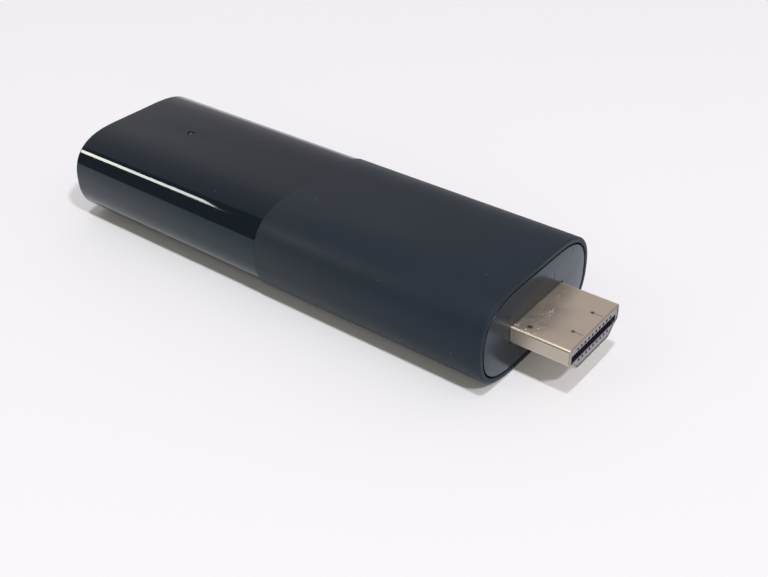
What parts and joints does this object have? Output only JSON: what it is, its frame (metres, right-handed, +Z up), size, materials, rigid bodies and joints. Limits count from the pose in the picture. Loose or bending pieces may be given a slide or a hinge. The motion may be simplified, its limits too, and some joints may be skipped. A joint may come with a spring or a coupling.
{
  "type": "streaming media player",
  "caption": "Slim stick-shaped streaming media player: a two-part moulded tube, glossy at the tail and matte at the nose, with a male audio-video plug and a side power socket.",
  "frame": {"origin": "bottom centre of the whole stick, casing and plug together, lying flat", "axes": "+X from the closed tail to the tip of the plug, +Y to the side that has the power socket, +Z up through the face with the status light"},
  "size_m": [0.0924, 0.029, 0.015],
  "materials": {
    "matte_shell": "fine matt texture, dark blue-black",
    "gloss_shell": "polished, near black with a blue cast",
    "end_plate": "satin, dark blue-grey",
    "light_pipe": "clear to milky moulding",
    "plated_steel": "nickel plate, warm reflections, light handling marks",
    "insulator": "moulded, dark grey",
    "gold_plate": "gold-plated spring alloy",
    "circuit_board": "solder mask over glass laminate",
    "chip_package": "moulded package",
    "shield_steel": "tin-plated sheet",
    "thermal_pad": "soft gap filler",
    "aluminium": "rolled sheet",
    "ferrite": "moulded ferrite",
    "ceramic": "sintered ceramic",
    "led_resin": "resin lens"
  },
  "bodies": {
    "root": {"antenna_1": "gold_plate", "antenna_2": "gold_plate", "capacitor_1": "ceramic", "capacitor_2": "ceramic", "crystal": "shield_steel", "end_plate": "end_plate", "front_shell": "matte_shell", "inductor_1": "ferrite", "inductor_2": "ferrite", "light_pipe": "light_pipe", "lower_contact_01": "gold_plate", "lower_contact_02": "gold_plate", "lower_contact_03": "gold_plate", "lower_contact_04": "gold_plate", "lower_contact_05": "gold_plate", "lower_contact_06": "gold_plate", "lower_contact_07": "gold_plate", "lower_contact_08": "gold_plate", "lower_contact_09": "gold_plate", "lower_heat_pad": "thermal_pad", "lower_heat_spreader": "aluminium", "lower_shield_can": "shield_steel", "main_board": "circuit_board", "memory_chip_1": "chip_package", "memory_chip_2": "chip_package", "plug_insulator": "insulator", "plug_shell": "plated_steel", "power_contact_1": "gold_plate", "power_contact_2": "gold_plate", "power_contact_3": "gold_plate", "power_contact_4": "gold_plate", "power_contact_5": "gold_plate", "power_regulator": "chip_package", "power_socket_shell": "shield_steel", "power_socket_tongue": "insulator", "processor": "chip_package", "processor_pad": "thermal_pad", "status_led": "led_resin", "storage_chip": "chip_package", "tail_shell": "gloss_shell", "upper_contact_01": "gold_plate", "upper_contact_02": "gold_plate", "upper_contact_03": "gold_plate", "upper_contact_04": "gold_plate", "upper_contact_05": "gold_plate", "upper_contact_06": "gold_plate", "upper_contact_07": "gold_plate", "upper_contact_08": "gold_plate", "upper_contact_09": "gold_plate", "upper_contact_10": "gold_plate", "upper_heat_pad": "thermal_pad", "upper_heat_spreader": "aluminium", "upper_shield_frame": "shield_steel", "upper_shield_lid": "shield_steel", "wireless_module": "shield_steel"}
  },
  "joints": []
}
